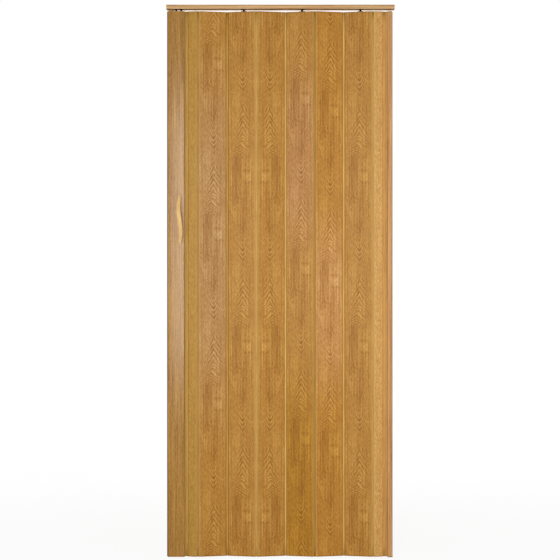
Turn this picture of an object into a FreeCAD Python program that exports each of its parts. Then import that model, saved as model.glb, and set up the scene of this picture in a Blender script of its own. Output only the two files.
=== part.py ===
import FreeCAD, Part
import math
import os
import re

import Sketcher

# Concertina folding door, closed. Millimetres and degrees.
# X runs along the track towards the wall, Y away from the viewer, Z up.
# The origin is the middle of the track's top face.

sizes = {
    # top track
    "trackDepth": 28,
    "trackHeight": 15.5,
    "trackWall": 1.5,
    "trackEdge": 1,
    "trackSlot": 10,
    "trackBore": 4.5,
    "trackBoreInset": 78,
    "trackSpare": 2.7,
    # hanging leaves
    "headroom": 7,
    "leafHeight": 1998.5,
    "restAngle": 8.5,
    "foldAngle": 82,
    # panels: hinge line to hinge line, and hinge line to end pivot
    "panelPitch": 107.25,
    "halfPitch": 46,
    "panelThickness": 6,
    "panelSkin": 0.9,
    "ribPitch": 10.4,
    "ribThickness": 0.9,
    # soft hinge strips, with a bead along each edge
    "stripGap": 6,
    "beadRadius": 1.3,
    "beadPlay": 0.1,
    "webThickness": 0.9,
    "webPlay": 0.15,
    "mouthBack": 22,
    "mouthSpare": 27,
    # wall channel and the end profile in it
    "wallInset": 32.7,
    "channelSetback": 7.1,
    "channelWidth": 18,
    "channelDepth": 26,
    "channelWall": 1.5,
    "channelEdge": 1.2,
    "channelDrop": 4,
    "channelSpare": 0.5,
    "channelBore": 4.5,
    "channelBoreInset": 157.5,
    "seatPlay": 0.3,
    "footWall": 1.6,
    "screwRoom": 3.2,
    # lead post
    "postWidth": 62.8,
    "postDepth": 22,
    "postWall": 1.8,
    "postCorner": 3.5,
    "postEdge": 2,
    "capThickness": 1.5,
    "plugLength": 12,
    "landLength": 20,
    "landDepth": 12,
    "landHeight": 5,
    # closing strip in the post's free edge
    "sealMouth": 5,
    "sealWidth": 9,
    "sealDepth": 3.2,
    "sealLip": 1.2,
    "sealProud": 2.2,
    "sealPlay": 0.15,
    # gliders
    "blockLength": 24,
    "postBlockLength": 16,
    "blockWidth": 24,
    "blockHeight": 7,
    "blockCorner": 3,
    "glideGap": 0.3,
    "stemHeadRadius": 4.5,
    "stemHeadHeight": 2.2,
    "collarRadius": 3.9,
    "neckRadius": 2.5,
    "pinRadius": 1.3,
    "pinPlay": 0.05,
    "catchRadius": 1.8,
    "catchLength": 3,
    "socketLength": 20,
    "postGliderFirst": 15.6,
    "postGliderPitch": 18.3,
    # handles
    "handleInset": 19.7,
    "handleDrop": 762.3,
    "handleHeight": 181,
    "handleSwing": 4.1,
    "handleArch": 23,
    "handleHalfWidth": 8.5,
    "handleHalfDepth": 4.6,
    "handleTip": 2.5,
    "tipGap": 0.05,
    "footRadius": 4.2,
    "footFromEnd": 26,
    # screws that join the two handles through the post
    "screwRadius": 2,
    "screwPlay": 0.2,
    "screwHeadRadius": 3.6,
    "screwHeadHeight": 2,
    "screwSink": 2.4,
    "screwGrip": 8,
    "driveSlot": 0.9,
}

doc = FreeCAD.newDocument("folding_door")
sheet = doc.addObject("Spreadsheet::Sheet", "sizes")
for row, (name, size) in enumerate(sizes.items(), 1):
    sheet.set(f"A{row}", name)
    sheet.set(f"B{row}", str(size))
    sheet.setAlias(f"B{row}", name)
doc.recompute()
nodes = []


def bound(text):
    # names of sizes become references to the sheet's cells
    return re.sub(r"[A-Za-z]\w*", lambda m: f"sizes.{m.group()}" if m.group() in sizes else m.group(), text)


def value(text):
    return float(sheet.evalExpression(bound(text)))


def bind(item, **texts):
    for field, text in texts.items():
        item.setExpression(field, bound(text))
    return item


def place(item, x="0", y="0", z="0", angle="0"):
    item.Placement = FreeCAD.Placement(FreeCAD.Vector(), FreeCAD.Rotation(FreeCAD.Vector(0, 0, 1), 1))
    for field, text in (("Base.x", x), ("Base.y", y), ("Base.z", z), ("Rotation.Angle", angle)):
        item.setExpression(f".Placement.{field}", bound(text))
    return item


def node(item, label):
    item.Label = label
    nodes.append(item)
    return item


def newBody(label):
    return node(doc.addObject("PartDesign::Body", label), label)


def newSketch(body, name, role="XY_Plane", lift=None):
    sketch = body.newObject("Sketcher::SketchObject", name)
    plane = next(f for f in body.Origin.OriginFeatures if f.Role == role)
    sketch.AttachmentSupport = [(plane, "")]
    sketch.MapMode = "FlatFace"
    if lift:
        sketch.setExpression(".AttachmentOffset.Base.z", bound(lift))
    return sketch


def pin(sketch, geometry, point, x, y):
    # fixes one point of a sketch by its distances from the origin
    for kind, text in (("DistanceX", x), ("DistanceY", y)):
        rule = Sketcher.Constraint(kind, -1, 1, geometry, point, value(text))
        sketch.setExpression(f"Constraints[{sketch.addConstraint(rule)}]", bound(text))


def setRadius(sketch, geometry, radius):
    rule = Sketcher.Constraint("Radius", geometry, value(radius))
    sketch.setExpression(f"Constraints[{sketch.addConstraint(rule)}]", bound(radius))


def spot(x, y):
    return FreeCAD.Vector(value(x), value(y), 0)


def polygon(sketch, corners):
    spots = [spot(x, y) for x, y in corners]
    first = sketch.GeometryCount
    count = len(spots)
    for here, there in zip(spots, spots[1:] + spots[:1]):
        sketch.addGeometry(Part.LineSegment(here, there))
    for i in range(count):
        sketch.addConstraint(Sketcher.Constraint("Coincident", first + i, 2, first + (i + 1) % count, 1))
    for i, (x, y) in enumerate(corners):
        pin(sketch, first + i, 1, x, y)


def rectangle(sketch, xLow, xHigh, yLow, yHigh):
    polygon(sketch, [(xLow, yLow), (xHigh, yLow), (xHigh, yHigh), (xLow, yHigh)])


def circle(sketch, x, y, radius):
    made = sketch.addGeometry(Part.Circle(spot(x, y), FreeCAD.Vector(0, 0, 1), value(radius)))
    pin(sketch, made, 3, x, y)
    setRadius(sketch, made, radius)


def roundEnded(sketch, xLow, xHigh, radius):
    # a bar along X with a half round at each end
    up = FreeCAD.Vector(0, value(radius), 0)
    low, high = spot(xLow, "0"), spot(xHigh, "0")
    axis = FreeCAD.Vector(0, 0, 1)
    sketch.addGeometry(Part.ArcOfCircle(Part.Circle(high, axis, up.y), -math.pi / 2, math.pi / 2))
    sketch.addGeometry(Part.LineSegment(high + up, low + up))
    sketch.addGeometry(Part.ArcOfCircle(Part.Circle(low, axis, up.y), math.pi / 2, 3 * math.pi / 2))
    sketch.addGeometry(Part.LineSegment(low - up, high - up))
    for here in range(4):
        sketch.addConstraint(Sketcher.Constraint("Tangent", here, 2, (here + 1) % 4, 1))
    sketch.addConstraint(Sketcher.Constraint("Equal", 0, 2))
    pin(sketch, 0, 3, xHigh, "0")
    pin(sketch, 2, 3, xLow, "0")
    setRadius(sketch, 0, radius)


def pad(sketch, length, down=False):
    feature = sketch.getParent().newObject("PartDesign::Pad", f"{sketch.Name}Pad")
    feature.Profile = sketch
    feature.Reversed = down
    return bind(feature, Length=length)


def pocket(sketch, length=None, up=True):
    body = sketch.getParent()
    doc.recompute()
    before = body.Shape.Volume
    feature = body.newObject("PartDesign::Pocket", f"{sketch.Name}Pocket")
    feature.Profile = sketch
    feature.Reversed = up
    if length:
        bind(feature, Length=length)
    else:
        feature.Type = "ThroughAll"
    doc.recompute()
    if body.Shape.Volume > before - 0.01:
        raise RuntimeError(f"{feature.Name} in {body.Label} removes nothing")
    return feature


def roundEdges(feature, radius, chosen):
    # chosen picks straight edges by their middle point and direction
    body = feature.getParent()
    doc.recompute()
    names = []
    for i, edge in enumerate(feature.Shape.Edges, 1):
        ends = [v.Point for v in edge.Vertexes]
        if len(ends) == 2 and chosen((ends[0] + ends[1]) / 2, ends[1] - ends[0]):
            names.append(f"Edge{i}")
    rounding = body.newObject("PartDesign::Fillet", f"{feature.Name}Round")
    rounding.Base = (feature, names)
    return bind(rounding, Radius=radius)


# the track is as long as the closed leaves and post need
# the fold lines at rest are counted from its wall end
leafTop = "(0 - trackHeight - headroom)"
leafBottom = f"({leafTop} - leafHeight)"
half = "(panelThickness / 2)"
noseIn = "((stripGap + panelThickness) / 2)"
pitchRun = "(panelPitch * cos(restAngle) + panelThickness * sin(restAngle))"
halfRun = f"(halfPitch * cos(restAngle) + {half} * sin(restAngle))"
frontY = f"({half} * cos(restAngle) - halfPitch * sin(restAngle))"
backY = f"({frontY} + panelPitch * sin(restAngle) - panelThickness * cos(restAngle))"
stripSpan = f"(2 * {noseIn} * cos(restAngle) + panelThickness * sin(restAngle))"
stripShift = f"({half} * cos(restAngle) - {noseIn} * sin(restAngle))"
grooveRadius = "(beadRadius + beadPlay)"
panelCount = 6
leafRun = f"(2 * {halfRun} + {panelCount} * {pitchRun})"
trackLength = f"(wallInset + {leafRun} + postEdge + postWidth + sealProud + trackSpare)"
wallPivot = f"({trackLength} / 2 - wallInset)"
channelHeight = "(leafHeight - channelDrop + channelSpare)"
folds = range(1, panelCount + 2)
foldX = {k: f"({wallPivot} - {halfRun} - {panelCount + 1 - k} * {pitchRun})" for k in folds}
postX = f"({foldX[1]} - {halfRun})"
gliderX = {n: f"({foldX[n + 1]} - {halfRun})" for n in range(2, panelCount + 1, 2)}


def makeTrack():
    body = newBody("top_track")
    sketch = newSketch(body, "trackProfile", "YZ_Plane", f"0 - {trackLength} / 2")
    out, inside, lip = "trackDepth / 2", "(trackDepth / 2 - trackWall)", "trackSlot / 2"
    floor, roof = "0 - trackHeight", "0 - trackWall"
    polygon(sketch, [
        (f"0 - {out}", "0"), (f"0 - {out}", floor), (f"0 - {lip}", floor),
        (f"0 - {lip}", f"{floor} + trackWall"), (f"0 - {inside}", f"{floor} + trackWall"),
        (f"0 - {inside}", roof), (inside, roof), (inside, f"{floor} + trackWall"),
        (lip, f"{floor} + trackWall"), (lip, floor), (out, floor), (out, "0"),
    ])
    rail = pad(sketch, trackLength)
    deep = value("trackDepth") / 2
    low = -value("trackHeight")
    corner = roundEdges(rail, "trackEdge", lambda at, along: (
        abs(along.x) > 1 and abs(abs(at.y) - deep) < 0.01 and abs(at.z - low) < 0.01))
    bores = newSketch(body, "trackBores")
    boreReach = f"({trackLength} / 2 - trackBoreInset)"
    circle(bores, f"0 - {boreReach}", "0", "trackBore / 2")
    drilled = pocket(bores, "trackWall * 2", up=False)
    row = body.newObject("PartDesign::LinearPattern", "trackBoreRow")
    row.Originals = [drilled]
    row.Direction = (bores, ["H_Axis"])
    row.Occurrences = 4
    bind(row, Length=f"{boreReach} * 2")
    body.Tip = row


def makePanel(label, farNose, chamberFirst, chamberCount):
    # a hollow extrusion; x = 0 is its front fold line, and it runs towards -X
    body = newBody(label)
    outline = newSketch(body, f"{label}Outline")
    roundEnded(outline, f"0 - {farNose}", f"0 - {noseIn}", half)
    pad(outline, "leafHeight")
    chamber = newSketch(body, f"{label}Chamber")
    wide, deep = "(ribPitch - ribThickness) / 2", f"({half} - panelSkin)"
    rectangle(chamber, f"{chamberFirst} - {wide}", f"{chamberFirst} + {wide}", f"0 - {deep}", deep)
    cut = pocket(chamber)
    row = body.newObject("PartDesign::LinearPattern", f"{label}Chambers")
    row.Originals = [cut]
    row.Direction = (chamber, ["H_Axis"])
    row.Reversed = True
    row.Occurrences = chamberCount
    bind(row, Length=f"ribPitch * {chamberCount - 1}")
    body.Tip = row
    grooves = newSketch(body, f"{label}Grooves")
    circle(grooves, f"0 - {noseIn}", "0", grooveRadius)
    circle(grooves, f"0 - {farNose}", "0", grooveRadius)
    pocket(grooves)
    mouths = newSketch(body, f"{label}Mouths")
    slot = f"(webThickness / 2 / cos(restAngle) + {half} * tan(restAngle) + webPlay)"
    rectangle(mouths, f"0 - {noseIn}", f"0 - {noseIn} + panelThickness", f"0 - {slot}", slot)
    rectangle(mouths, f"0 - {farNose} - panelThickness", f"0 - {farNose}", f"0 - {slot}", slot)
    pocket(mouths)
    return body


def standPanel(body, fold, leansBack):
    # an even panel runs left from its front fold line, an odd one right
    turn = "0 - restAngle" if leansBack else "180 + restAngle"
    side = "" if leansBack else "0 - "
    across = f"({side}{half} * sin(restAngle))"
    place(body, f"{foldX[fold]} - {across}", f"{frontY} - {half} * cos(restAngle)", leafBottom, turn)


def makePanels():
    wide = value("(ribPitch - ribThickness) / 2")
    solid = value(f"{noseIn} + {half}")
    rib = value("ribPitch")
    middle, full = value("halfPitch"), value("panelPitch")
    before = math.floor((middle - solid - wide) / rib)
    after = math.floor((full - solid - middle - wide) / rib)
    first = f"(0 - halfPitch + {before} * ribPitch)"
    for n in range(1, panelCount + 1):
        body = makePanel(f"panel_{n}", f"(panelPitch - {noseIn})", first, before + after + 1)
        standPanel(body, n + 1 if n % 2 == 0 else n, n % 2 == 0)
    farNose = f"(halfPitch - {stripSpan})"
    room = value(f"{farNose} - {half}") - solid
    count = math.floor((room + value("ribThickness")) / rib)
    firstHalf = f"(0 - {noseIn} - {half} - ribPitch / 2)"
    standPanel(makePanel("lead_half_panel", farNose, firstHalf, count), 1, True)
    standPanel(makePanel("wall_half_panel", farNose, firstHalf, count), panelCount + 1, False)


def makeStrip(label):
    # x = 0 is the middle of the web
    body = newBody(label)
    beads = newSketch(body, f"{label}Beads")
    circle(beads, f"0 - {stripSpan} / 2", "0", "beadRadius")
    circle(beads, f"{stripSpan} / 2", "0", "beadRadius")
    web = newSketch(body, f"{label}Web")
    rectangle(web, f"0 - {stripSpan} / 2", f"{stripSpan} / 2", "0 - webThickness / 2", "webThickness / 2")
    pad(web, "leafHeight")
    pad(beads, "leafHeight")
    return body


def makeStrips():
    for k in folds:
        y = f"{frontY} - {stripShift}" if k % 2 else f"{backY} + {stripShift}"
        place(makeStrip(f"hinge_strip_{k}"), foldX[k], y, leafBottom)
    reach = f"{stripSpan} / 2"
    away = f"{reach} * cos(restAngle)"
    ahead = f"0 - {reach} * sin(restAngle)"
    place(makeStrip("lead_hinge_strip"), f"{postX} + {away}", ahead, leafBottom, "0 - restAngle")
    place(makeStrip("wall_hinge_strip"), f"{wallPivot} - {away}", ahead, leafBottom, "restAngle")


def cutPivot(body, side):
    # the groove in which an end strip's bead turns; its mouth lets the web swing to the front
    groove = newSketch(body, f"{body.Name}Groove")
    circle(groove, "0", "0", grooveRadius)
    pocket(groove)
    mouth = newSketch(body, f"{body.Name}Mouth")
    corners = [("0", "0")]
    steps = 3
    reach = "panelThickness * 0.75"
    for i in range(steps + 1):
        angle = f"(mouthBack - {i} / {steps} * (mouthBack + foldAngle + mouthSpare))"
        corners.append((f"{side} * {reach} * cos({angle})", f"{reach} * sin({angle})"))
    polygon(mouth, corners)
    pocket(mouth)


def makeWallChannel():
    body = newBody("wall_channel")
    profile = newSketch(body, "channelProfile")
    out, inside, mouth = "channelDepth / 2", "(channelDepth / 2 - channelWall)", f"({half} + seatPlay)"
    lip, back = "channelWall", "channelWidth - channelWall"
    polygon(profile, [
        ("0", mouth), ("0", out), ("channelWidth", out), ("channelWidth", f"0 - {out}"),
        ("0", f"0 - {out}"), ("0", f"0 - {mouth}"), (lip, f"0 - {mouth}"), (lip, f"0 - {inside}"),
        (back, f"0 - {inside}"), (back, inside), (lip, inside), (lip, mouth),
    ])
    rail = pad(profile, channelHeight)
    deep = value("channelDepth") / 2
    roundEdges(rail, "channelEdge", lambda at, along: abs(along.z) > 1 and abs(abs(at.y) - deep) < 0.01)
    bores = newSketch(body, "channelBores", "YZ_Plane")
    circle(bores, "0", "channelBoreInset", "channelBore / 2")
    drilled = pocket(bores)
    row = body.newObject("PartDesign::LinearPattern", "channelBoreRow")
    row.Originals = [drilled]
    row.Direction = (bores, ["V_Axis"])
    row.Occurrences = 4
    bind(row, Length=f"{channelHeight} - 2 * channelBoreInset")
    body.Tip = row
    place(body, f"{wallPivot} + channelSetback", "0", f"{leafBottom} - channelSpare")


def makeEndProfile():
    # nose round the wall pivot, a neck through the channel's mouth, and a hollow foot inside
    # two legs behind the foot leave room for the heads of the channel's screws
    body = newBody("end_profile")
    neck = newSketch(body, "endNeck")
    near = "(channelSetback + channelWall + seatPlay)"
    far = "(channelSetback + channelWidth - channelWall - seatPlay)"
    rear = f"({far} - screwRoom)"
    roundEnded(neck, "0", f"{near} + {half}", half)
    pad(neck, "leafHeight")
    deep = "(channelDepth / 2 - channelWall - seatPlay)"
    flank = f"({deep} - footWall)"
    foot = newSketch(body, "endFoot")
    polygon(foot, [
        (near, f"0 - {deep}"), (far, f"0 - {deep}"), (far, f"0 - {flank}"), (rear, f"0 - {flank}"),
        (rear, flank), (far, flank), (far, deep), (near, deep),
    ])
    pad(foot, "leafHeight")
    hollow = newSketch(body, "endHollow")
    rectangle(hollow, f"{near} + footWall", f"{rear} - footWall", f"0 - {flank}", flank)
    pocket(hollow)
    cutPivot(body, "(0 - 1)")
    place(body, wallPivot, "0", leafBottom)


postHeight = "(leafHeight - 2 * capThickness)"
postTop = f"({leafTop} - capThickness)"
postBottom = f"({leafBottom} + capThickness)"
postNear = "(0 - postEdge)"
postFar = "(0 - postEdge - postWidth)"
chamberEnd = f"({postFar} + sealDepth + postWall)"
chamberWidth = f"((0 - postEdge - postWall - {chamberEnd} - 2 * postWall) / 3)"
postChambers = [
    (f"({chamberEnd} + {i} * ({chamberWidth} + postWall))",
     f"({chamberEnd} + {i} * ({chamberWidth} + postWall) + {chamberWidth})")
    for i in range(3)
]
feet = [
    (1, "(handleHeight / 2 - footFromEnd)"),
    (-1, "(footFromEnd - handleHeight / 2)"),
]


def atCorner(at, along):
    # the post's four long corners
    wide, deep = (value(postNear), value(postFar)), value("postDepth") / 2
    return abs(along.z) > 1 and abs(abs(at.y) - deep) < 0.01 and min(abs(at.x - x) for x in wide) < 0.01


def swing(z):
    # the handle's sideways wave at a height above its middle
    return f"(0 - handleSwing * sin(360 * {z} / handleHeight))"


def makePost():
    body = newBody("lead_post")
    outline = newSketch(body, "postOutline")
    rectangle(outline, postFar, postNear, "0 - postDepth / 2", "postDepth / 2")
    box = pad(outline, postHeight)
    roundEdges(box, "postCorner", atCorner)
    nose = newSketch(body, "postNose")
    roundEnded(nose, f"{postNear} - {half}", "0", half)
    pad(nose, postHeight)
    deep = "(postDepth / 2 - postWall)"
    chambers = newSketch(body, "postChambers")
    for low, high in postChambers:
        rectangle(chambers, low, high, f"0 - {deep}", deep)
    pocket(chambers)
    seat = newSketch(body, "sealSeat")
    wide, mouth = "sealWidth / 2", "sealMouth / 2"
    polygon(seat, [
        (f"{postFar} - 1", f"0 - {mouth}"), (f"{postFar} + sealLip", f"0 - {mouth}"),
        (f"{postFar} + sealLip", f"0 - {wide}"), (f"{postFar} + sealDepth", f"0 - {wide}"),
        (f"{postFar} + sealDepth", wide), (f"{postFar} + sealLip", wide),
        (f"{postFar} + sealLip", mouth), (f"{postFar} - 1", mouth),
    ])
    pocket(seat)
    cutPivot(body, "1")
    holes = newSketch(body, "handleHoles", "XZ_Plane", "postDepth")
    for side, z in feet:
        across = f"0 - handleInset + {swing(z)}"
        circle(holes, across, f"leafHeight - capThickness - handleDrop + {z}", "screwRadius + screwPlay")
    pocket(holes, up=False)
    place(body, postX, "0", postBottom)


def makeClosingStrip():
    body = newBody("closing_strip")
    foot = newSketch(body, "sealFoot")
    wide, mouth = "(sealWidth / 2 - sealPlay)", "(sealMouth / 2 - sealPlay)"
    lip = f"({postFar} + sealLip + sealPlay)"
    polygon(foot, [
        (postFar, f"0 - {mouth}"), (lip, f"0 - {mouth}"), (lip, f"0 - {wide}"),
        (f"{postFar} + sealDepth - sealPlay", f"0 - {wide}"), (f"{postFar} + sealDepth - sealPlay", wide),
        (lip, wide), (lip, mouth), (postFar, mouth),
    ])
    pad(foot, postHeight)
    face = newSketch(body, "sealFace")
    wing = "(postDepth / 2 - postCorner)"
    polygon(face, [
        (postFar, f"0 - {wing}"), (postFar, wing),
        (f"{postFar} - sealProud", f"{wing} - sealProud"), (f"{postFar} - sealProud", f"sealProud - {wing}"),
    ])
    pad(face, postHeight)
    place(body, postX, "0", postBottom)


def makePlug(label, spigot, down):
    # a cap on the post's end with a spigot in each chamber
    body = newBody(label)
    outline = newSketch(body, f"{label}Cap")
    rectangle(outline, postFar, postNear, "0 - postDepth / 2", "postDepth / 2")
    roundEdges(pad(outline, "capThickness", down=not down), "postCorner", atCorner)
    legs = newSketch(body, f"{label}Spigots")
    deep = "(postDepth / 2 - postWall - seatPlay)"
    for low, high in postChambers:
        rectangle(legs, f"{low} + seatPlay", f"{high} - seatPlay", f"0 - {deep}", deep)
    pad(legs, spigot, down=down)
    return body


def makePlugs():
    spigot = "(socketLength - capThickness)"
    top = makePlug("post_top_plug", spigot, True)
    land = newSketch(top, "plugLand", lift="capThickness")
    rectangle(land, f"{postFar} + postCorner", f"{postFar} + postCorner + landLength",
              "0 - landDepth / 2", "landDepth / 2")
    pad(land, "landHeight")
    bores = newSketch(top, "plugBores", lift=f"0 - {spigot}")
    for i in range(2):
        circle(bores, f"0 - postGliderFirst - {i} * postGliderPitch", "0", "pinRadius + pinPlay")
    pocket(bores, "socketLength + 2 * capThickness")
    place(top, postX, "0", postTop)
    place(makePlug("post_bottom_plug", "plugLength", False), postX, "0", postBottom)


def makeGlider(label, length, x):
    # a slide block in the track, and the stem that hangs in it
    block = newBody(label)
    outline = newSketch(block, f"{label}Outline")
    rectangle(outline, f"0 - {length} / 2", f"{length} / 2", "0 - blockWidth / 2", "blockWidth / 2")
    roundEdges(pad(outline, "blockHeight"), "blockCorner", lambda at, along: abs(along.z) > 1)
    bore = newSketch(block, f"{label}Bore")
    circle(bore, "0", "0", "neckRadius + pinPlay")
    pocket(bore)
    seat = newSketch(block, f"{label}Seat", lift="blockHeight - stemHeadHeight")
    circle(seat, "0", "0", "stemHeadRadius + pinPlay")
    pocket(seat, "blockHeight")
    ground = "(trackWall - trackHeight + glideGap)"
    place(block, x, "0", ground)

    stem = newBody(f"{label}_stem")
    profile = newSketch(stem, f"{label}Stem", "XZ_Plane")
    top = "blockHeight"
    under = "(blockHeight - stemHeadHeight)"
    collarEnd = f"({leafTop} + capThickness + glideGap - {ground})"
    socketEnd = f"({leafTop} - socketLength - glideGap - {ground})"
    polygon(profile, [
        ("0", top), ("stemHeadRadius", top), ("stemHeadRadius", under), ("neckRadius", under),
        ("neckRadius", "0 - glideGap"), ("collarRadius", "0 - glideGap"), ("collarRadius", collarEnd),
        ("pinRadius", collarEnd), ("pinRadius", socketEnd), ("catchRadius", socketEnd),
        ("pinRadius", f"{socketEnd} - catchLength"), ("0", f"{socketEnd} - catchLength"),
    ])
    turned = stem.newObject("PartDesign::Revolution", f"{label}Turned")
    turned.Profile = profile
    turned.ReferenceAxis = (profile, ["V_Axis"])
    turned.Angle = 360
    place(stem, x, "0", ground)


def makeGliders():
    for i, n in enumerate(gliderX, 1):
        makeGlider(f"glider_{i}", "blockLength", gliderX[n])
    for i in range(2):
        x = f"{postX} - postGliderFirst - {i} * postGliderPitch"
        makeGlider(f"post_glider_{i + 1}", "postBlockLength", x)


def makeSockets():
    # a plug in the chamber under each panel glider, with a flange on the panel's top edge
    for i, n in enumerate(gliderX, 1):
        label = f"glider_socket_{i}"
        body = newBody(label)
        stub = newSketch(body, f"{label}Stub")
        wide = "((ribPitch - ribThickness) / 2 - webPlay)"
        deep = f"({half} - panelSkin - webPlay)"
        rectangle(stub, f"0 - {wide}", wide, f"0 - {deep}", deep)
        pad(stub, "socketLength", down=True)
        flange = newSketch(body, f"{label}Flange")
        rectangle(flange, "0 - ribPitch", "ribPitch", f"0 - {half}", half)
        pad(flange, "capThickness")
        bore = newSketch(body, f"{label}Bore", lift="0 - socketLength")
        circle(bore, "0", "0", "pinRadius + pinPlay")
        pocket(bore, "socketLength + 2 * capThickness")
        place(body, gliderX[n], "0", leafTop, "0 - restAngle")


def archAt(z):
    # the grip's distance from the post; its tips all but touch the face
    return f"(tipGap + handleTip * 0.8 + handleArch * cos(180 * {z} / handleHeight))"


def makeHandle(label, face):
    # face is -1 for the front of the post and 1 for the back; the grip is a loft of ellipses,
    # closer together towards the blunt tips
    sections = []
    steps = 12
    for i in range(steps + 1):
        turn = f"({i} / {steps} * 180)"
        z = f"(0 - cos({turn}) / 2 * handleHeight)"
        ring = doc.addObject("Part::Ellipse", f"{label}Ring{i}")
        swell = f"sin({turn})"
        bind(ring, MajorRadius=f"handleTip + (handleHalfWidth - handleTip) * {swell}",
             MinorRadius=f"handleTip * 0.8 + (handleHalfDepth - handleTip * 0.8) * {swell}")
        place(ring, swing(z), f"{face} * {archAt(z)}", z)
        sections.append(ring)
    grip = doc.addObject("Part::Loft", f"{label}Grip")
    grip.Sections = sections
    grip.Solid = True
    feetMade = []
    for side, z in feet:
        foot = doc.addObject("Part::Cylinder", f"{label}Foot{side + 1}")
        bind(foot, Radius="footRadius", Height=archAt(z))
        lay(foot, swing(z), "0", z, face)
        feetMade.append(foot)
    whole = doc.addObject("Part::MultiFuse", f"{label}Whole")
    whole.Shapes = [grip] + feetMade
    tools = []
    for side, z in feet:
        bore = doc.addObject("Part::Cylinder", f"{label}Bore{side + 1}")
        if face < 0:
            bind(bore, Radius="screwRadius + pinPlay", Height="screwGrip")
            lay(bore, swing(z), "0", z, face)
            tools.append(bore)
            continue
        bind(bore, Radius="screwRadius + screwPlay", Height="handleArch")
        lay(bore, swing(z), "0", z, face)
        sink = doc.addObject("Part::Cylinder", f"{label}Sink{side + 1}")
        bind(sink, Radius="screwHeadRadius + screwPlay", Height="handleArch")
        lay(sink, swing(z), "screwSink", z, face)
        tools += [bore, sink]
    holes = doc.addObject("Part::MultiFuse", f"{label}Holes")
    holes.Shapes = tools
    handle = doc.addObject("Part::Cut", label)
    handle.Base = whole
    handle.Tool = holes
    node(handle, label)
    place(handle, f"{postX} - handleInset", f"{face} * postDepth / 2", f"{leafTop} - handleDrop")


def lay(item, x, away, z, face):
    # turns a cylinder to point out of the post's face
    turn = FreeCAD.Rotation(FreeCAD.Vector(1, 0, 0), -90 * face)
    item.Placement = FreeCAD.Placement(FreeCAD.Vector(), turn)
    for field, text in (("x", x), ("y", f"{face} * {away}"), ("z", z)):
        item.setExpression(f".Placement.Base.{field}", bound(text))


def makeScrews():
    screws = []
    for side, z in feet:
        name = f"screw{side + 1}"
        shank = doc.addObject("Part::Cylinder", f"{name}Shank")
        bind(shank, Radius="screwRadius", Height="screwSink + postDepth + screwGrip")
        lay(shank, "0", "(0 - screwSink)", "0", -1)
        head = doc.addObject("Part::Cylinder", f"{name}Head")
        bind(head, Radius="screwHeadRadius", Height="screwHeadHeight")
        lay(head, "0", "screwSink", "0", 1)
        blank = doc.addObject("Part::Fuse", f"{name}Blank")
        blank.Base = shank
        blank.Tool = head
        blade = doc.addObject("Part::Box", f"{name}Drive")
        bind(blade, Length="2 * screwHeadRadius", Width="screwHeadHeight", Height="driveSlot")
        place(blade, "0 - screwHeadRadius", "screwSink + screwHeadHeight / 2", "0 - driveSlot / 2")
        screw = doc.addObject("Part::Cut", name)
        screw.Base = blank
        screw.Tool = blade
        place(screw, swing(z), "0", z)
        screws.append(screw)
    pair = doc.addObject("Part::Compound", "handle_screws")
    pair.Links = screws
    node(pair, "handle_screws")
    place(pair, f"{postX} - handleInset", "postDepth / 2", f"{leafTop} - handleDrop")


makeTrack()
makeWallChannel()
makeEndProfile()
makePanels()
makeStrips()
makePost()
makeClosingStrip()
makePlugs()
makeGliders()
makeSockets()
makeHandle("front_handle", -1)
makeHandle("back_handle", 1)
makeScrews()
doc.recompute()

for item in doc.Objects:
    if {"Invalid", "Error"} & set(item.State):
        raise RuntimeError(f"{item.Label} is {item.State}")
os.makedirs("parts", exist_ok=True)
for item in nodes:
    if item.Shape.isNull() or not item.Shape.isValid():
        raise RuntimeError(f"{item.Label} has no valid shape")
    item.Shape.exportStep(f"parts/{item.Label}.step")
print(f"{len(nodes)} nodes, {sum(len(item.Shape.Solids) for item in nodes)} solids")
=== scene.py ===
import bpy
import math
import numpy as np
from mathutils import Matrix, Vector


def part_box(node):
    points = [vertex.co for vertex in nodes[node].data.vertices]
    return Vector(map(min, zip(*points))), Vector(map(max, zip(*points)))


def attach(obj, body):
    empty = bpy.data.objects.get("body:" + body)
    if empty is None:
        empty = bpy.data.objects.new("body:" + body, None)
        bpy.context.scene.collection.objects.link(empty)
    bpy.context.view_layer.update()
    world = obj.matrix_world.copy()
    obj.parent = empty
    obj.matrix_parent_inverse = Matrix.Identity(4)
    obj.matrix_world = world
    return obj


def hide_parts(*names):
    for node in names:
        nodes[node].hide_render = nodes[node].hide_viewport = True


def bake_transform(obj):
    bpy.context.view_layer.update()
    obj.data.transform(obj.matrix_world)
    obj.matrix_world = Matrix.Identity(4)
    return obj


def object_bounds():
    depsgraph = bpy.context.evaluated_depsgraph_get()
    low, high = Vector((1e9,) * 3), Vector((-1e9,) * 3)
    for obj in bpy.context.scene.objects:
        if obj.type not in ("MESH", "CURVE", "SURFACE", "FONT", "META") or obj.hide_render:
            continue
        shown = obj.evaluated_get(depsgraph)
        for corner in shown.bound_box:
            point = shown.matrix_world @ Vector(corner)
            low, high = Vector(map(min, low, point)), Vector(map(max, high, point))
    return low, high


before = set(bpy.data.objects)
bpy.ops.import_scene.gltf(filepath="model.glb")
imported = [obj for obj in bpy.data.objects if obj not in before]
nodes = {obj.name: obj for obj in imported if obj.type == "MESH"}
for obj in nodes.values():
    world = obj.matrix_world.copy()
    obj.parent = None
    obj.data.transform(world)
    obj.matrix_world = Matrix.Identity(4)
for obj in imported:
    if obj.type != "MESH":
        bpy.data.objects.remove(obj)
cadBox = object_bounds()
mmInMetre = 1000.0
print("frame loaded:", len(nodes), "nodes")


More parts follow.
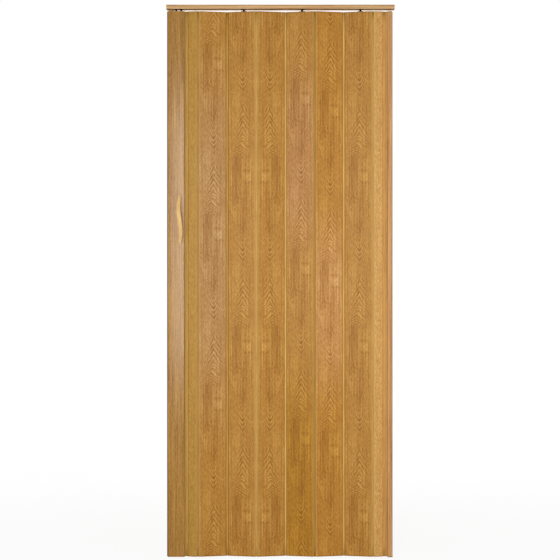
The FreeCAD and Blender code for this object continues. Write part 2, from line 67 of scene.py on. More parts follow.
# camera level with the door's middle, square to it
shot = {
    "distance": 4.0,      # metres from the leaves
    "facePlane": 0.013,   # the track's front stands this far nearer
    "mmPerPixel": 3.659,  # at the track's front
    "aim": (-0.0016, -1.0072),   # metres, x and z
    "picture": 560,       # pixels
    "sensor": 36.0,       # mm
    "farthest": 60,       # metres
}


def makeCamera():
    lens = bpy.data.cameras.new("doorCamera")
    lens.sensor_width = shot["sensor"]
    focalPixels = (shot["distance"] - shot["facePlane"]) * mmInMetre / shot["mmPerPixel"]
    lens.lens = focalPixels / shot["picture"] * shot["sensor"]
    lens.clip_end = shot["farthest"]
    eye = bpy.data.objects.new("doorCamera", lens)
    eye.location = (shot["aim"][0], -shot["distance"], shot["aim"][1])
    eye.rotation_euler = (math.radians(90), 0, 0)   # looks along Y, upright
    bpy.context.scene.collection.objects.link(eye)
    bpy.context.scene.camera = eye
    print("camera set, focal length", round(lens.lens, 1), "mm")


# small helpers for shader trees
displayCurve = {"toe": 0.04045, "toeSlope": 12.92, "shift": 0.055, "power": 2.4}
noiseMean = 0.5
noiseSpan = (0.3, 0.7)   # most of a noise lies between these


def tone(red, green, blue):
    # written as display values 0 to 255, used as linear light
    light = []
    for value in (red / 255, green / 255, blue / 255):
        curved = (value + displayCurve["shift"]) / (1 + displayCurve["shift"])
        inToe = value < displayCurve["toe"]
        light.append(value / displayCurve["toeSlope"] if inToe else curved ** displayCurve["power"])
    return (*light, 1)


def feed(tree, socket, value):
    if isinstance(value, bpy.types.NodeSocket):
        tree.links.new(value, socket)
    elif value is not None:
        socket.default_value = value


def calc(tree, kind, a, b=None, c=None, clamp=False):
    step = tree.nodes.new("ShaderNodeMath")
    step.operation = kind
    step.use_clamp = clamp
    for socket, value in zip(step.inputs, (a, b, c)):
        feed(tree, socket, value)
    return step.outputs[0]


def plus(tree, a, b, clamp=False):
    return calc(tree, "ADD", a, b, clamp=clamp)


def minus(tree, a, b):
    return calc(tree, "SUBTRACT", a, b)


def times(tree, a, b):
    return calc(tree, "MULTIPLY", a, b)


def ratio(tree, a, b):
    return calc(tree, "DIVIDE", a, b)


def timesPlus(tree, a, b, c, clamp=False):
    return calc(tree, "MULTIPLY_ADD", a, b, c, clamp)


def joinAxes(tree, x, y, z):
    step = tree.nodes.new("ShaderNodeCombineXYZ")
    for socket, value in zip(step.inputs, (x, y, z)):
        feed(tree, socket, value)
    return step.outputs[0]


def splitAxes(tree, vector):
    step = tree.nodes.new("ShaderNodeSeparateXYZ")
    feed(tree, step.inputs[0], vector)
    return step.outputs


def stretch(tree, vector, scale, shift):
    step = tree.nodes.new("ShaderNodeMapping")
    feed(tree, step.inputs["Vector"], vector)
    step.inputs["Scale"].default_value = scale
    step.inputs["Location"].default_value = shift
    return step.outputs[0]


def evenNoise(tree, vector, scale, detail=2.0, rough=0.5):
    step = tree.nodes.new("ShaderNodeTexNoise")
    feed(tree, step.inputs["Vector"], vector)
    step.inputs["Scale"].default_value = scale
    step.inputs["Detail"].default_value = detail
    step.inputs["Roughness"].default_value = rough
    return step.outputs[0]


def drawnNoise(tree, vector, scale, shift=(0, 0, 0), detail=2.0, rough=0.5):
    # noise drawn out by its own scale along each axis
    return evenNoise(tree, stretch(tree, vector, scale, shift), 1.0, detail, rough)


def centred(tree, drawn):
    # a noise moved so that its mean is 0
    return minus(tree, drawn, noiseMean)


def ramp(tree, value, stops):
    step = tree.nodes.new("ShaderNodeValToRGB")
    feed(tree, step.inputs[0], value)
    line = step.color_ramp.elements
    while len(line) < len(stops):
        line.new(1.0)   # its place is set below
    for mark, (place, colour) in zip(line, stops):
        mark.position = place
        mark.color = colour
    return step.outputs[0]


def mixColour(tree, share, a, b, kind="MIX"):
    step = tree.nodes.new("ShaderNodeMix")
    step.data_type = "RGBA"
    step.blend_type = kind
    for socket, value in ((0, share), (6, a), (7, b)):   # 6 and 7 are the node's two colours
        feed(tree, step.inputs[socket], value)
    return step.outputs[2]


def spread(tree, value, fromLow, fromHigh, toLow=0.0, toHigh=1.0, smooth=True):
    step = tree.nodes.new("ShaderNodeMapRange")
    step.interpolation_type = "SMOOTHSTEP" if smooth else "LINEAR"
    feed(tree, step.inputs[0], value)
    for socket, number in zip(step.inputs[1:5], (fromLow, fromHigh, toLow, toHigh)):
        feed(tree, socket, number)
    return step.outputs[0]


def window(tree, value, rise, fall):
    # 1 between rise and fall, with soft ends
    return times(tree, spread(tree, value, *rise), spread(tree, value, *fall, 1.0, 0.0))


def emboss(tree, shader, height, strength, depth, over=None):
    step = tree.nodes.new("ShaderNodeBump")
    step.inputs["Strength"].default_value = strength
    step.inputs["Distance"].default_value = depth
    feed(tree, step.inputs["Height"], height)
    feed(tree, step.inputs["Normal"], over)
    feed(tree, shader.inputs["Normal"], step.outputs[0])
    return step.outputs[0]


def newFinish(name, gloss):
    finish = bpy.data.materials.new(name)
    finish.use_nodes = True
    tree = finish.node_tree
    shader = tree.nodes["Principled BSDF"]
    shader.inputs["Specular IOR Level"].default_value = gloss
    place = tree.nodes.new("ShaderNodeTexCoord").outputs["Object"]
    return finish, tree, shader, place


def dress(finish, *names):
    for name in names:
        item = nodes[name]
        item.data.materials.clear()
        item.data.materials.append(finish)


# oak print: a roller pattern that comes round again every repeat along the leaf
oakRoll = {
    "repeat": 624.0,       # mm along the leaf
    "start": 166.0,        # mm below the track's top
    "offset": 3.5,         # mm that the figure stands off the leaf's middle
    "gloss": 0.18,
    "satin": (0.36, 0.48),     # roughness from the pores' floor to their rims
    "emboss": (0.22, 0.0003),  # strength, and depth in metres
    "colours": [
        (0.0, (106, 60, 12)),
        (0.36, (153, 101, 36)),
        (0.62, (180, 128, 54)),
        (1.0, (214, 166, 86)),
    ],
    "ridge": (204, 160, 90),   # painted highlight on the edge where the fold stands forward
    "valley": (140, 94, 34),   # painted shade on the edge where the fold stands back, also the hue the ends darken to
    "front": (0.005, 0.002, 0.6),   # metres from the edge where the painted highlight starts and is full, and its share
    "back": (0.002, 0.004),    # metres from the other edge where the painted shade is full and ends
    "paintedLightCore": 0.3,       # share of a painted light patch's reach where it is full
}
# noise on the roller, in cycles for each mm across and round
oakNoise = {
    "ringSide": dict(scale=(0.05, 0.03, 0.03), detail=3.0),
    "ringDown": dict(scale=(0.02, 0.035, 0.035), shift=(5, 2, 8)),
    "ringBreaks": dict(scale=(0.1, 0.06, 0.06), shift=(2, 2, 7)),
    "rays": dict(scale=(0.09, 0.05, 0.05), shift=(1, 6, 2), detail=3.0),
    "streak": dict(scale=(0.19, 0.0032, 0.0032), detail=4.0, rough=0.66),
    "pores": dict(scale=(0.45, 0.09, 0.09), detail=4.0, rough=0.8),
    "flecks": dict(scale=(0.21, 0.06, 0.06), shift=(7, 1, 3), detail=1.0),
    "cloud": dict(scale=(0.03, 0.012, 0.012), shift=(3, 9, 4)),
}


def rollPattern(tree, place, centre, flip, phase):
    # across and down in mm; rolled is the same spot on the printing roller, so that noise repeats with it
    axes = splitAxes(tree, place)
    across = times(tree, minus(tree, axes[0], centre), mmInMetre * flip)
    fall = timesPlus(tree, axes[2], -mmInMetre, -oakRoll["start"] - phase)
    turns = ratio(tree, fall, oakRoll["repeat"])
    down = times(tree, calc(tree, "FRACT", turns), oakRoll["repeat"])
    angle = times(tree, turns, 2 * math.pi)
    radius = oakRoll["repeat"] / 2 / math.pi
    wrapX = times(tree, calc(tree, "COSINE", angle), radius)
    wrapY = times(tree, calc(tree, "SINE", angle), radius)
    return across, down, joinAxes(tree, across, wrapX, wrapY)


# growth rings: an eye whose rings point down, then flames that point up; four numbers are a start and
# an end, most of them in mm down the repeat, and the values there
ringPlan = {
    "step": 15.0,                    # mm between rings
    "wander": 8.0,                   # mm across
    "sway": (150, 200, 10.0, 26.0),  # mm that they wander along
    "left": (318, 350, 0, 11),       # mm that the last flames stand to the left
    "lean": (285, 350, 1.0, 1.4),    # how many times steeper their left side gets
    "leanEdge": (-6, 6),             # mm from the middle over which the left side turns into the right
    "steep": (285, 350, 1.7, 1.15),  # how many times a ring is taller than wide
    "tip": (150, 200, 40.0, 50.0),   # square mm, how round a tip is at the eye and the first flames
    "lastTip": (250, 390, 0, 40.0),  # and how much rounder it then gets
    "vee": 0.5,                      # how much of a V a ring under the eye is
    "cup": 20.0,                     # mm, and how wide its round part is
    "flare": 46.0,                   # mm, how far a flame's arms reach before they bend outward
    "swap": (160, 185),              # where the eye's rings give way to flames
    "climb": [   # mm that the rings are moved by, and whether the ends of the move are soft
        (46, 74, 0, -24, True),
        (70, 168, 0, 82, False),
        (184, 400, 0, -150, False),
        (300, 400, 0, -40, True),
    ],
    "line": 3.4,                     # the higher, the thinner is a ring's dark line
    "lineEnd": (0.88, 1.0, 1.0, 0.0),   # part of a ring where that line ends
    "weights": (0.6, 1.2),           # the palest and the darkest ring
    "pale": ((0.0, 0.12), (0.25, 0.5)),   # part of a ring where its pale line comes and goes
    "paleShare": 0.55,
    "shown": [((46, 90), (138, 162)), ((180, 262), (366, 388))],   # where the eye and the flames come and go
    "faint": 0.2,                    # what is left of rings elsewhere
    "reach": (180, 320, 28, 38),     # mm, half the figure's width
    "narrower": (-10, 10, 0.7, 1.0),    # share of the reach, from the left to the right of the middle
    "fade": (0.35, 1.0, 1.0, 0.06),     # share of the reach where rings fade out
    "breaks": (0.34, 0.56, 0.25, 1.0),  # noise level where rings are broken and whole
}


def ringNumbers(tree, across, down, rolled):
    # a ring's number is (bow + climb) / step, where bow is the square root of (steep * side) squared + tip,
    # bent to flare * tanh(bow / flare) for flames and to vee * bow + side * side / cup under the eye;
    # climb rises under the eye, so that rings point down there, and falls further on
    plan = ringPlan
    shakeSide = centred(tree, drawnNoise(tree, rolled, **oakNoise["ringSide"]))
    shakeDown = centred(tree, drawnNoise(tree, rolled, **oakNoise["ringDown"]))
    at = timesPlus(tree, shakeDown, spread(tree, down, *plan["sway"]), down)
    side = timesPlus(tree, shakeSide, plan["wander"], across)
    side = plus(tree, side, spread(tree, at, *plan["left"]))
    lean = spread(tree, side, *plan["leanEdge"], spread(tree, at, *plan["lean"]), 1.0)
    steep = times(tree, times(tree, side, lean), spread(tree, at, *plan["steep"]))
    tip = plus(tree, spread(tree, at, *plan["tip"]), spread(tree, at, *plan["lastTip"]))
    bow = calc(tree, "SQRT", timesPlus(tree, steep, steep, tip))
    flame = times(tree, calc(tree, "TANH", ratio(tree, bow, plan["flare"])), plan["flare"])
    cup = ratio(tree, times(tree, side, side), plan["cup"])
    cup = timesPlus(tree, bow, plan["vee"], cup)
    bow = spread(tree, at, *plan["swap"], cup, flame)
    climb = 0.0
    for rise in plan["climb"]:
        climb = plus(tree, climb, spread(tree, at, *rise))
    return side, ratio(tree, plus(tree, bow, climb), plan["step"])


def ringLines(tree, across, down, rolled):
    # within a ring, dark grows as its part to the power of line and ends sharply, and a pale line follows
    plan = ringPlan
    side, ring = ringNumbers(tree, across, down, rolled)
    part = calc(tree, "FRACT", ring)
    chance = tree.nodes.new("ShaderNodeTexWhiteNoise")
    chance.noise_dimensions = "1D"
    feed(tree, chance.inputs["W"], calc(tree, "FLOOR", ring))
    weight = spread(tree, chance.outputs["Value"], 0.0, 1.0, *plan["weights"], smooth=False)
    dark = times(tree, calc(tree, "POWER", part, plan["line"]), spread(tree, part, *plan["lineEnd"]))
    pale = window(tree, part, *plan["pale"])
    drawn = minus(tree, times(tree, dark, weight), times(tree, pale, plan["paleShare"]))
    eye, flames = (window(tree, down, *span) for span in plan["shown"])
    shown = timesPlus(tree, plus(tree, eye, flames), 1 - plan["faint"], plan["faint"])
    reach = times(tree, spread(tree, down, *plan["reach"]), spread(tree, side, *plan["narrower"]))
    inside = spread(tree, ratio(tree, calc(tree, "ABSOLUTE", side), reach), *plan["fade"])
    broken = spread(tree, drawnNoise(tree, rolled, **oakNoise["ringBreaks"]), *plan["breaks"])
    return times(tree, times(tree, drawn, broken), times(tree, shown, inside))


# where the cut crosses the rays; a mark is across from, to and down from, to in mm, then paler or darker
rays = {
    "shake": (14.0, 22.0),   # mm that the marks' edges wander across and down
    "soft": (3, 4),          # mm, half of an edge's width
    "marks": [
        (-29, -17, 384, 560, -0.09), (-17, -8, 396, 468, -0.05), (19, 30, 384, 420, -0.05),
        (2, 26, 398, 436, 0.05), (4, 28, 447, 478, 0.10), (-4, 26, 438, 443, -0.09),
        (-4, 34, 480, 486, -0.12), (-8, 20, 490, 530, -0.06), (-24, -6, 520, 545, -0.08),
        (-23, 3, 585, 590, -0.12), (-1.5, 1.5, 540, 640, -0.13), (-1.5, 1.5, -10, 52, -0.14),
        (-21, -18, 588, 640, -0.10), (-21, -18, -10, 26, -0.10), (14, 17, 515, 605, -0.10),
        (-38, -34, 425, 565, -0.10), (30, 34, 500, 605, -0.09), (-12, 16, 8, 36, -0.05),
    ],
}


def rayFigure(tree, across, down, rolled):
    # the sum of soft-edged blocks, their edges shaken by noise
    shake = centred(tree, drawnNoise(tree, rolled, **oakNoise["rays"]))
    side = timesPlus(tree, shake, rays["shake"][0], across)
    at = timesPlus(tree, shake, rays["shake"][1], down)
    softSide, softDown = rays["soft"]
    total = 0.0
    for left, right, top, low, amount in rays["marks"]:
        wide = window(tree, side, (left - softSide, left + softSide), (right - softSide, right + softSide))
        tall = window(tree, at, (top - softDown, top + softDown), (low - softDown, low + softDown))
        total = timesPlus(tree, times(tree, wide, tall), amount, total)
    return total


# an upright's face is darker near its foot and head: metres from the end where that is full and gone,
# and its share
endDarkening = {"foot": (0.002, 0.005, 0.6), "head": (0.002, 0.004, 0.3)}


def darkEnds(tree, height, colour):
    low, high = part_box("panel_1")   # its heights serve for every upright
    full, gone, share = endDarkening["foot"]
    foot = spread(tree, height, low.z + full, low.z + gone, share, 0.0)
    full, gone, share = endDarkening["head"]
    head = spread(tree, height, high.z - gone, high.z - full, 0.0, share)
    return mixColour(tree, plus(tree, foot, head), colour, tone(*oakRoll["valley"]))


# what each part of the figure adds to the print's level, which runs from 0, the darkest colour, to 1
oakLevel = {
    "base": 0.6,
    "heart": 0.03,       # darker in the leaf's middle and paler at its edges
    "heartEdge": (6, 28),   # mm from the middle
    "rings": -0.44,
    "rays": 1.1,
    "streaks": 0.95,
    "calm": -0.42,       # less of the streaks where there are rings
    "calmParts": [((30, 80), (170, 240)), ((230, 290), (360, 420))],   # mm down
    "cloud": 0.4,
    "flecks": 0.22,
    "pores": 1.35,
}


def printLevel(tree, across, down, rolled, rings, pores, figure, streaks):
    # the weighted sum of the figure's parts
    streak = centred(tree, drawnNoise(tree, rolled, **oakNoise["streak"]))
    flecks = centred(tree, drawnNoise(tree, rolled, **oakNoise["flecks"]))
    cloud = centred(tree, drawnNoise(tree, rolled, **oakNoise["cloud"]))
    eye, flames = (window(tree, down, *span) for span in oakLevel["calmParts"])
    calm = plus(tree, eye, flames, clamp=True)
    streaky = timesPlus(tree, calm, oakLevel["calm"] * streaks, oakLevel["streaks"] * streaks)
    deep = oakLevel["heart"] * figure
    heart = spread(tree, calc(tree, "ABSOLUTE", across), *oakLevel["heartEdge"], -deep, deep)
    level = timesPlus(tree, rings, oakLevel["rings"] * figure, plus(tree, heart, oakLevel["base"]))
    level = timesPlus(tree, rayFigure(tree, across, down, rolled), oakLevel["rays"] * figure, level)
    level = timesPlus(tree, streak, streaky, level)
    level = timesPlus(tree, cloud, oakLevel["cloud"] * streaks, level)
    level = timesPlus(tree, flecks, oakLevel["flecks"], level)
    return timesPlus(tree, centred(tree, pores), oakLevel["pores"], level, clamp=True)


def oakPrint(name, centre, halfWidth, ridge, flip=1, phase=0.0, tint=(1, 1, 1), paintedLight=(), figure=1.0,
             streaks=1.0, shade=0.6, paintedHighlight=oakRoll["ridge"]):
    finish, tree, shader, place = newFinish(name, oakRoll["gloss"])
    figureMiddle = centre + oakRoll["offset"] * flip / mmInMetre
    across, down, rolled = rollPattern(tree, place, figureMiddle, flip, phase)
    rings = ringLines(tree, across, down, rolled)
    pores = drawnNoise(tree, rolled, **oakNoise["pores"])
    level = printLevel(tree, across, down, rolled, rings, pores, figure, streaks)
    colour = ramp(tree, level, [(at, tone(*hue)) for at, hue in oakRoll["colours"]])
    colour = mixColour(tree, 1.0, colour, tint + (1,), "MULTIPLY")
    axes = splitAxes(tree, place)
    # patches of painted light: a painted sheen where the hue is paler, painted shade where it is darker
    for middle, reach, hue in paintedLight:
        away = calc(tree, "ABSOLUTE", minus(tree, axes[2], middle))
        share = spread(tree, away, reach, reach * oakRoll["paintedLightCore"])
        colour = mixColour(tree, share, colour, hue + (1,), "MULTIPLY")
    # a painted highlight along the edge whose fold stands forward, painted shade along the one that stands
    # back
    rim = times(tree, minus(tree, axes[0], centre), ridge)
    start, full, share = oakRoll["front"]
    front = spread(tree, rim, halfWidth - start, halfWidth - full, 0.0, share)
    colour = mixColour(tree, front, colour, tone(*paintedHighlight))
    full, end = oakRoll["back"]
    back = spread(tree, rim, full - halfWidth, end - halfWidth, shade, 0.0)
    colour = mixColour(tree, back, colour, tone(*oakRoll["valley"]))
    colour = darkEnds(tree, axes[2], colour)
    satin = spread(tree, pores, *noiseSpan, *oakRoll["satin"], smooth=False)
    feed(tree, shader.inputs["Base Color"], colour)
    feed(tree, shader.inputs["Roughness"], satin)
    emboss(tree, shader, minus(tree, pores, rings), *oakRoll["emboss"])
    return finish


# one entry per printed leaf: ridge is the side its forward fold is on, phase is how far its print is shifted
# down in mm, flip mirrors it, figure and streaks are how much of the grain shows, shade is how dark the
# painted shade on the fold that stands back is, a hue can be given for the painted highlight on the one that
# stands forward, tint is the hue of its batch, and each patch of painted light is a middle height, a reach
# (both in metres) and a hue: a painted sheen where it is paler, painted shade where it is darker
leafPrints = {
    "panel_1": dict(ridge=-1, phase=212.0, paintedLight=[(-0.85, 0.85, (1.0, 1.11, 2.1))]),
    "panel_2": dict(ridge=1),
    "panel_3": dict(ridge=-1, flip=-1),
    "panel_4": dict(ridge=1, phase=340.0,
                    paintedLight=[(-0.55, 0.42, (1.01, 1.0, 1.6)), (-1.75, 0.6, (0.91, 0.87, 0.44))]),
    "panel_5": dict(ridge=-1, phase=384.0, tint=(1.03, 0.98, 0.84),
                    paintedLight=[(-1.1, 0.4, (1.14, 1.23, 2.25))]),
    "panel_6": dict(ridge=1),
    "lead_half_panel": dict(ridge=1, phase=100.0, figure=0.08, streaks=0.3, shade=0.2,
                            tint=(1.01, 1.13, 1.16)),
    "wall_half_panel": dict(ridge=-1, phase=260.0, figure=0.25, streaks=0.35, shade=0.0,
                            tint=(1.38, 1.57, 2.55), paintedHighlight=(228, 184, 116)),
}


def dressLeaves():
    for name, look in leafPrints.items():
        low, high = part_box(name)
        finish = oakPrint(f"{name}_oak", (low.x + high.x) / 2, (high.x - low.x) / 2, **look)
        dress(finish, name)
    print("oak print on", len(leafPrints), "leaves")


# straight-grained print on the post and the rails, which run along z or x; streaky, cloudy and flecked are
# how much of each noise shows, a band of painted shade darkens a rail over a range of heights in metres,
# crown is how far the edges of a broad face fall away in metres, the painted highlight at the right edge is
# a width, a share and a hue, and the painted shade on the lower front rim, where the rail's underside is
# shaded, is a hue
straightGrain = {
    # the post's paler right edge is a painted highlight
    "lead_post": dict(run="z", dark=(118, 68, 10), pale=(193, 146, 68), rough=0.17, gloss=0.28, streaky=1.6,
                      cloudy=0.4, flecked=0.7, crown=0.0006, paintedHighlight=(0.007, 0.7, (206, 164, 98))),
    # the darker top band and the dark lower front rim of the track are painted shade
    "top_track": dict(run="x", dark=(176, 131, 76), pale=(234, 195, 147), rough=0.36, gloss=0.06,
                      paintedShadeBand=(-0.0048, 0.0, 0.45), paintedUnderShade=(52, 32, 8)),
    "wall_channel": dict(run="z", dark=(160, 110, 60), pale=(214, 166, 112), rough=0.36, gloss=0.25),
    "end_profile": dict(run="z", dark=(180, 130, 64), pale=(222, 172, 104), rough=0.4, gloss=0.25),
}
# noise scale across and along a piece, then detail and roughness
grainNoise = {
    "streak": (260, 4, 3.0, 0.6),
    "pores": (700, 45, 2.0, 0.7),
    "cloud": (40, 2.5, 2.0, 0.5),
    "fleck": (190, 80, 2.0, 0.7),
}
# how the print lies, the same on each of these pieces
grainForm = {
    "base": 0.58,               # level between dark and pale without any figure
    "paintedShadeBandEdge": (0.0004, 0.0008),   # metres outside and inside the edge of a band of painted shade
    "paintedHighlightCore": 0.4,          # share of the painted highlight's width where it is full
    "rougher": 0.1,             # roughness added from the pores' floor to their rims
    "paintedUnderShadeRise": (0.0002, 0.0006),   # metres above the rail's foot where the painted shade is full and gone
    "paintedUnderShadeDepth": (0.008, 0.011),    # and behind its front
    "emboss": (0.2, 0.0003),    # strength, and depth in metres
}


def grainAlong(tree, place, run, kind):
    across, along, detail, rough = grainNoise[kind]
    scale = (across, across, along) if run == "z" else (along, across, across)
    return drawnNoise(tree, place, scale, detail=detail, rough=rough)


def paintedUnderShadeRim(tree, height, depth, low):
    # 1 at the foot of the rail's front, where the shade of its underside is painted
    below = spread(tree, height, *[low.z + rise for rise in grainForm["paintedUnderShadeRise"]], 1.0, 0.0)
    front = spread(tree, depth, *[low.y + behind for behind in grainForm["paintedUnderShadeDepth"]], 1.0, 0.0)
    return times(tree, below, front)


def grainFinish(name, run, dark, pale, rough, gloss, streaky=2.1, cloudy=0.8, flecked=0.0, paintedShadeBand=None,
                crown=0.0, paintedHighlight=None, paintedUnderShade=None):
    # long streaks plus short pores, both drawn out along the piece
    finish, tree, shader, place = newFinish(f"{name}_grain", gloss)
    low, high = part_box(name)
    across, depth, height = splitAxes(tree, place)
    streak = centred(tree, grainAlong(tree, place, run, "streak"))
    cloud = centred(tree, grainAlong(tree, place, run, "cloud"))
    pores = grainAlong(tree, place, run, "pores")
    level = timesPlus(tree, streak, streaky, grainForm["base"])
    level = timesPlus(tree, cloud, cloudy, level)
    if flecked:
        level = timesPlus(tree, centred(tree, grainAlong(tree, place, run, "fleck")), flecked, level)
    level = plus(tree, centred(tree, pores), level, clamp=True)
    colour = ramp(tree, level, [(0.0, tone(*dark)), (1.0, tone(*pale))])
    # a band of painted shade over a range of heights
    if paintedShadeBand:
        foot, head, share = paintedShadeBand
        outside, inside = grainForm["paintedShadeBandEdge"]
        near = window(tree, height, (foot - outside, foot + inside), (head - inside, head + outside))
        colour = mixColour(tree, times(tree, near, share), colour, tone(*dark), "MULTIPLY")
    # a painted highlight along the right edge
    if paintedHighlight:
        wide, share, hue = paintedHighlight
        edge = spread(tree, across, high.x - wide, high.x - grainForm["paintedHighlightCore"] * wide, 0.0, share)
        colour = mixColour(tree, edge, colour, tone(*hue))
    if run == "z":
        colour = darkEnds(tree, height, colour)
    satin = spread(tree, pores, *noiseSpan, rough, rough + grainForm["rougher"], smooth=False)
    # painted shade on the lower front rim, where the underside is shaded
    if paintedUnderShade:
        rim = paintedUnderShadeRim(tree, height, depth, low)
        colour = mixColour(tree, rim, colour, tone(*paintedUnderShade))
        satin = plus(tree, satin, rim, clamp=True)   # and matt
    feed(tree, shader.inputs["Base Color"], colour)
    feed(tree, shader.inputs["Roughness"], satin)
    under = None
    if crown:
        # the face falls by crown * (distance from its middle / half its width) to the fourth power
        out = ratio(tree, minus(tree, across, (low.x + high.x) / 2), (high.x - low.x) / 2)
        under = emboss(tree, shader, calc(tree, "POWER", calc(tree, "ABSOLUTE", out), 4.0), 1.0, -crown)
    emboss(tree, shader, pores, *grainForm["emboss"], over=under)
    return finish


def dressRails():
    for name, look in straightGrain.items():
        dress(grainFinish(name, **look), name)
    print("straight grain on", len(straightGrain), "pieces")


# plain plastics and metal: a base colour with a little mottling, and a moulded skin; grain is the mottling's
# scale along each axis
plainFinishes = {
    "paleHandle": dict(dark=(217, 173, 107), pale=(238, 198, 136), grain=(160, 160, 40),
                       rough=0.4, gloss=0.3, skin=0.1),
    "blackNylon": dict(dark=(4, 4, 4), pale=(12, 11, 10), grain=(400, 400, 400),
                       rough=0.6, gloss=0.04, skin=0.3),
    "ochrePlug": dict(dark=(154, 112, 52), pale=(188, 146, 80), grain=(300, 300, 300),
                      rough=0.5, gloss=0.4, skin=0.25),
    "brownSeal": dict(dark=(84, 56, 24), pale=(118, 84, 42), grain=(300, 300, 10),
                      rough=0.7, gloss=0.0, skin=0.2),
    "screwSteel": dict(dark=(150, 148, 142), pale=(196, 194, 188), grain=(500, 40, 500),
                       rough=0.3, gloss=0.5, skin=0.2, metal=1.0),
}
# the same on each plain piece
plainForm = {
    "mottle": dict(detail=3.0, rough=0.6),
    "grit": 2200.0,            # scale of the moulded skin
    "gritDepth": 0.0001,       # metres
    "satin": (-0.05, 0.08),    # roughness added in the dark and the pale mottles
}


def plainFinish(name, dark, pale, grain, rough, gloss, skin, metal=0.0):
    finish, tree, shader, place = newFinish(name, gloss)
    mottle = drawnNoise(tree, place, grain, **plainForm["mottle"])
    satin = [rough + more for more in plainForm["satin"]]
    colour = ramp(tree, mottle, list(zip(noiseSpan, (tone(*dark), tone(*pale)))))
    feed(tree, shader.inputs["Base Color"], colour)
    feed(tree, shader.inputs["Roughness"], spread(tree, mottle, *noiseSpan, *satin, smooth=False))
    feed(tree, shader.inputs["Metallic"], metal)
    emboss(tree, shader, evenNoise(tree, place, plainForm["grit"]), skin, plainForm["gritDepth"])
    return finish


def dressFittings(made):
    dress(made["paleHandle"], "front_handle", "back_handle")
    dress(made["ochrePlug"], "post_top_plug", "post_bottom_plug")
    dress(made["brownSeal"], "closing_strip")
    dress(made["screwSteel"], "handle_screws")
    dress(made["blackNylon"], *[n for n in nodes if "glider" in n])
    print("plain finishes on the fittings")


# soft hinge strips: two beads and a thin web, pulled along the leaf's height
strip = {
    "bead": 0.0013,       # metres, radius
    "web": 0.00045,       # half thickness
    "beadPoints": 12,
    "webPoints": 14,
    "rows": 40,
    "ripple": 0.00012,    # the soft web is never quite flat
    "waves": 12,          # radians for each metre of height
    "look": dict(grain=(300, 300, 12), rough=0.5, gloss=0.08, skin=0.15),
}
# how dark and how pale each strip is: all one plastic, made paler or darker strip by strip as painted light
# and shade for how much light reaches its fold
stripHuesAndPaintedLight = {
    "hinge_strip_1": ((166, 126, 60), (192, 152, 82)),
    "hinge_strip_2": ((178, 132, 58), (206, 158, 80)),
    "hinge_strip_3": ((186, 146, 76), (214, 172, 98)),
    "hinge_strip_4": ((196, 152, 76), (228, 184, 106)),
    "hinge_strip_5": ((162, 120, 50), (188, 144, 70)),
    "hinge_strip_6": ((200, 152, 76), (230, 182, 104)),
    "hinge_strip_7": ((184, 144, 72), (210, 168, 92)),
    "lead_hinge_strip": ((176, 138, 66), (204, 164, 90)),
    "wall_hinge_strip": ((190, 142, 70), (218, 168, 92)),
}


def stripProfile(length):
    # closed outline: the web's upper side, an arc round the right bead, the web's lower side and
    # an arc round the left bead
    bead = strip["bead"]
    web = strip["web"]
    gape = math.asin(web / bead)
    arc = np.linspace(gape, 2 * math.pi - gape, strip["beadPoints"])
    turned = math.pi - arc
    roundRight = np.stack([length + bead * np.cos(turned), bead * np.sin(turned)], 1)
    roundLeft = np.stack([bead * np.cos(arc), bead * np.sin(arc)], 1)
    mouth = bead * math.cos(gape)
    run = np.linspace(mouth, length - mouth, strip["webPoints"])[1:-1]
    upper = np.stack([run, np.full(run.shape, web)], 1)
    lower = np.stack([run[::-1], np.full(run.shape, -web)], 1)
    return np.concatenate([upper, roundRight, lower, roundLeft[::-1]])


def stripMesh(name, ends, low, high):
    # the profile swept along Z; a slow ripple pushes the web out by
    # ripple * sin(waves * height) * sin(pi * place between the beads)
    left, right = (np.array(p) for p in ends)
    length = np.linalg.norm(right - left)
    along = (right - left) / length
    out = np.array([-along[1], along[0]])
    profile = stripProfile(length)
    heights = np.linspace(low, high, strip["rows"])
    between = np.clip(profile[:, 0] / length, 0, 1)
    sway = np.outer(np.sin(strip["waves"] * heights), np.sin(math.pi * between))
    side = profile[:, 1] + strip["ripple"] * sway
    outlines = left + profile[None, :, :1] * along + side[..., None] * out
    rows, count = side.shape
    points = np.concatenate([outlines, np.broadcast_to(heights[:, None, None], (rows, count, 1))], 2)
    row, spot = np.meshgrid(np.arange(rows - 1), np.arange(count), indexing="ij")
    here = row * count + spot
    beside = row * count + (spot + 1) % count
    faces = np.stack([here + count, beside + count, beside, here], -1).reshape(-1, 4)
    foot = list(range(count))
    head = list(range((rows - 1) * count, rows * count))[::-1]
    mesh = bpy.data.meshes.new(name)
    mesh.from_pydata(points.reshape(-1, 3).tolist(), [], faces.tolist() + [foot, head])
    mesh.validate()
    smooth = np.ones(len(mesh.polygons), bool)
    smooth[-2:] = False   # the two ends are flat
    mesh.polygons.foreach_set("use_smooth", smooth)
    item = bpy.data.objects.new(name, mesh)
    bpy.context.scene.collection.objects.link(item)
    return item


def beadEnds(node):
    # the two bead centres, read from the strip's own box; the end strips lean with their leaf
    low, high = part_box(node)
    bead = strip["bead"]
    if node == "lead_hinge_strip":
        return (low.x + bead, high.y - bead), (high.x - bead, low.y + bead)
    if node == "wall_hinge_strip":
        return (low.x + bead, low.y + bead), (high.x - bead, high.y - bead)
    middle = (low.y + high.y) / 2
    return (low.x + bead, middle), (high.x - bead, middle)


